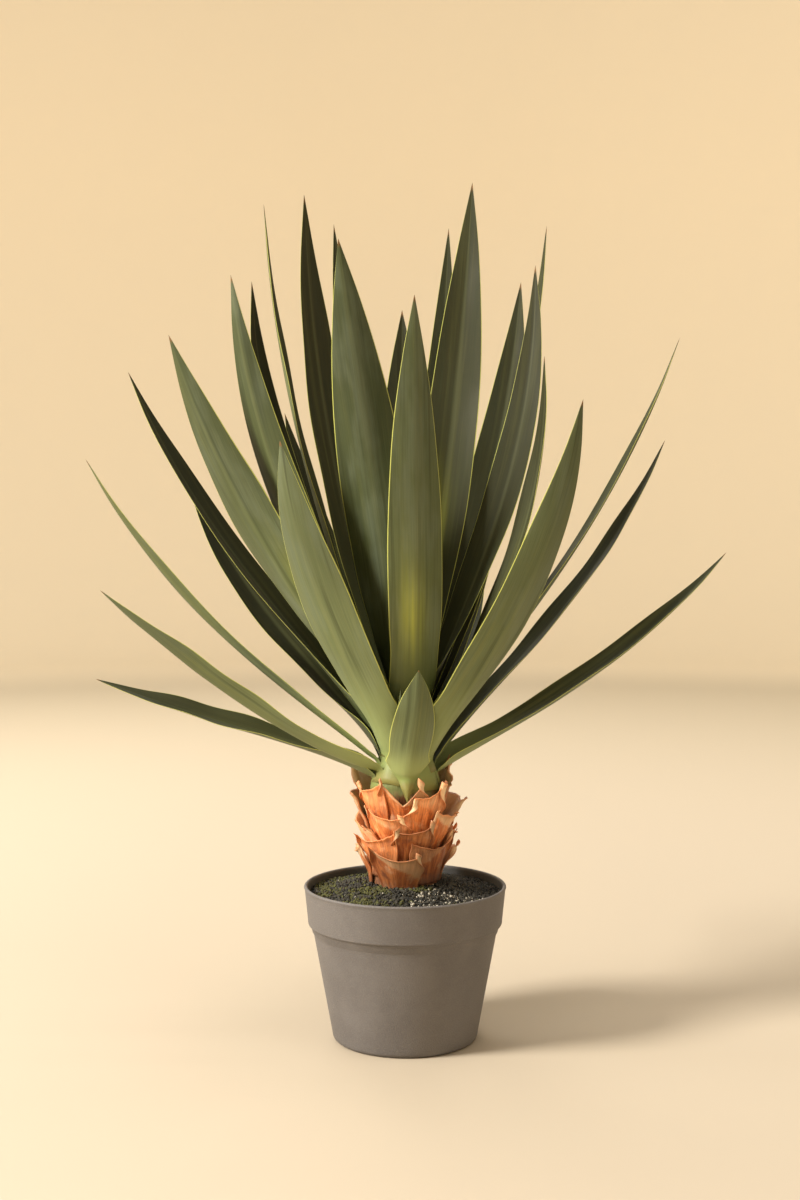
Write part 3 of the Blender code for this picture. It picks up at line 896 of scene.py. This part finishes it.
# ---------------------------------------------------------------- soil

def soil_profile():
    """Radii and heights of the CAD soil's top, from the stem outwards."""
    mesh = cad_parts["soil"].data
    rings = {}
    for polygon in mesh.polygons:
        if polygon.normal.z > 0.6 and polygon.center.z > 100 * MM:
            for k in polygon.vertices:
                place = mesh.vertices[k].co
                rings.setdefault(round(math.hypot(place.x, place.y), 3), []).append(place.z)
    radii = sorted(rings)
    return np.array(radii), np.array([sum(rings[r]) / len(rings[r]) for r in radii])


SOIL_RADII, SOIL_HEIGHTS = soil_profile()


def soil_height(radius):
    return float(np.interp(radius, SOIL_RADII, SOIL_HEIGHTS))


def moss_and_sunlight_at(place):
    """How mossy the soil is there, from 0 to 1: patches of moss, with more green on the left as painted
    sunlight.
    """
    patch = noise.noise(Vector((place.x * 55, place.y * 55, 3.0)))
    # Painted light: more green on the left, where sunlight falls.
    left = smooth((-place.x / (60 * MM) + 0.55) / 1.2)
    speckle = noise.noise(Vector((place.x * 240, place.y * 240, 9.0)))
    return smooth((patch + 0.65 * left + 0.8 * speckle - 0.50) / 0.30)


def make_soil(material):
    edge = SOIL_RADII[-1] + SOIL_OVERLAP
    points, numbers = [], {}
    for ring in range(SOIL_RINGS):
        radius = blend(edge, SOIL_HOLE, ring / (SOIL_RINGS - 1))
        for k in range(SOIL_SIDES):
            place = polar(radius, 360 * k / SOIL_SIDES, 0)
            lumps = noise.noise(place * 190) * 0.9 * MM + noise.noise(place * 420) * 0.6 * MM
            height = soil_height(radius) + lumps * (1 if ring else 0)
            points.append(Vector((place.x, place.y, height - SOIL_SETTLE)))
            note(numbers, moss=moss_and_sunlight_at(place) * GROUND_MOSS, pale=0.0)
    for radius, height in SOIL_UNDERSIDE:
        for k in range(SOIL_SIDES):
            points.append(polar(radius, 360 * k / SOIL_SIDES, height))
            note(numbers, moss=0.0, pale=0.0)
    rings = SOIL_RINGS + len(SOIL_UNDERSIDE)
    faces = ring_faces(rings, SOIL_SIDES) + band_faces((rings - 1) * SOIL_SIDES, 0, SOIL_SIDES)
    add_piece("ground", points, faces, material, "soil", numbers)


def make_grains(material):
    """Crumbs of soil, tufts of moss and pale grains, strewn over the ground; most pale grains are painted
    glints of sunlight at the front right.
    """
    pick = random.Random(GRAIN_SEED)
    ball = bmesh.new()
    bmesh.ops.create_icosphere(ball, subdivisions=1, radius=1.0)
    corners = [vertex.co.copy() for vertex in ball.verts]
    sides = [tuple(vertex.index for vertex in face.verts) for face in ball.faces]
    ball.free()
    points, faces, numbers = [], [], {}
    edge = SOIL_RADII[-1] - GRAIN_EDGE_GAP
    for _ in range(GRAIN_COUNT):
        radius = math.sqrt(pick.uniform(GRAIN_HOLE**2, edge**2))
        place = polar(radius, pick.uniform(0, 360), 0)
        size = pick.uniform(0.55, 1.5) * MM * pick.uniform(0.7, 1.35)
        # Grains are green in the moss, and more of them on the left as painted sunlight.
        is_moss = pick.random() < moss_and_sunlight_at(place)
        light = 0.0
        # A few pale stones lie everywhere; most of the pale grains lie at the front right, as painted
        # glints of sunlight there.
        sunlit_front_right = place.x > 2 * MM and place.y < -26 * MM
        if not is_moss and pick.random() < (0.30 if sunlit_front_right else 0.012):
            light = pick.uniform(0.5, 1.0)
            size *= 0.75
        spin = Euler([pick.uniform(0, ABOUT_A_TURN) for _ in range(3)]).to_matrix()
        stretch = Vector((pick.uniform(0.7, 1.3), pick.uniform(0.6, 1.2), pick.uniform(0.5, 1.0)))
        centre = Vector((place.x, place.y, soil_height(radius) + pick.uniform(-0.1, 0.7) * MM))
        start = len(points)
        for corner in corners:
            bulge = size * pick.uniform(0.75, 1.2)
            shaped = Vector(a * b for a, b in zip(corner, stretch)) * bulge
            points.append(centre + spin @ shaped)
            note(numbers, moss=pick.uniform(0.6, 1.0) if is_moss else 0.0, pale=light)
        faces += [tuple(start + k for k in side) for side in sides]
    add_piece("crumbs", points, faces, material, "soil", numbers)


# ---------------------------------------------------------------- stage

def stage_material():
    """A pale floor that turns lighter where it sweeps up, to look even."""
    g = Graph("floor")
    length = g.tree.nodes.new("ShaderNodeVectorMath")
    length.operation = "LENGTH"
    g.put(length.inputs[0], g.place())
    far = length.outputs["Value"]
    floor = g.mix(g.step(far, 0.5, 2.8), (0.50, 0.425, 0.325), (0.53, 0.45, 0.325))
    colour = g.mix(g.step(far, 2.55, 3.22), floor, (0.76, 0.65, 0.475))
    return g.finish(colour, 0.85, Specular_IOR_Level=0.0)


def make_stage():
    """A pale floor that sweeps up far away on every side."""
    profile = [(0.0, 0.0), (FLOOR_RADIUS, 0.0)]
    profile += arc((FLOOR_RADIUS, SWEEP_RADIUS), SWEEP_RADIUS, -90, 0, 24)[1:]
    profile += [(FLOOR_RADIUS + SWEEP_RADIUS, WALL_TOP)]
    points = []
    for radius, height in profile:
        radius = max(radius, 1 * MM)
        points += [polar(radius, 360 * k / STAGE_SIDES, height) for k in range(STAGE_SIDES)]
    faces = [tuple(reversed(face)) for face in ring_faces(len(profile), STAGE_SIDES)]
    faces.append(tuple(range(STAGE_SIDES)))
    mesh = bpy.data.meshes.new("floor")
    mesh.from_pydata([tuple(p) for p in points], [], faces)
    mesh.shade_smooth()
    mesh.materials.append(stage_material())
    floor = bpy.data.objects.new("floor", mesh)
    bpy.context.scene.collection.objects.link(floor)


def add_area(name, place, target, size, power, colour):
    """A round light of a size in metres and a power in watts, which faces its target."""
    light = bpy.data.lights.new(name, "AREA")
    light.shape = "DISK"
    light.size = size
    light.energy = power
    light.color = colour
    item = bpy.data.objects.new(name, light)
    item.location = place
    aim = Vector(target) - Vector(place)
    item.rotation_euler = aim.to_track_quat("-Z", "Y").to_euler()
    bpy.context.scene.collection.objects.link(item)


def make_lights():
    add_area("key", (-2.4, -1.0, 1.8), LIGHTS_AIM, 0.9, 170, (1.0, 0.96, 0.89))
    add_area("fill", (1.5, -1.3, 0.9), LIGHTS_AIM, 1.6, 4, (1.0, 0.96, 0.90))
    add_area("back", (-0.6, 1.8, 1.7), LIGHTS_AIM, 1.4, 16, (1.0, 0.97, 0.92))
    # Four lights high above the plant face outwards and brighten the sweep.
    for x, y in ((0, 1), (1, 0), (0, -1), (-1, 0)):
        add_area("sweep", (0.5 * x, 0.5 * y, 2.4), (4 * x, 4 * y, 1.3), 1.6, 50, SWEEP_COLOUR)
    world = bpy.data.worlds.new("studio")
    world.use_nodes = True
    sky = world.node_tree.nodes["Background"]
    sky.inputs["Color"].default_value = (1.0, 0.95, 0.87, 1.0)
    sky.inputs["Strength"].default_value = 0.30
    bpy.context.scene.world = world


def make_camera():
    data = bpy.data.cameras.new("camera")
    data.lens = LENS
    data.sensor_width = SENSOR_WIDTH
    camera = bpy.data.objects.new("camera", data)
    camera.location = CAMERA_PLACE
    camera.rotation_euler = (math.radians(90 - CAMERA_DIP), 0, 0)
    bpy.context.scene.collection.objects.link(camera)
    bpy.context.scene.camera = camera


def main():
    make_pot(pot_material())
    earth = soil_material()
    make_soil(earth)
    make_grains(earth)
    make_stem(stem_material())
    bark = husk_material()
    for index in numbered("husk_"):
        make_husk(index, bark)
    skin = leaf_material()
    for index in numbered("leaf_"):
        make_leaf(index, skin)
    make_stage()
    make_lights()
    make_camera()
    bpy.context.scene.view_settings.view_transform = "Standard"


main()
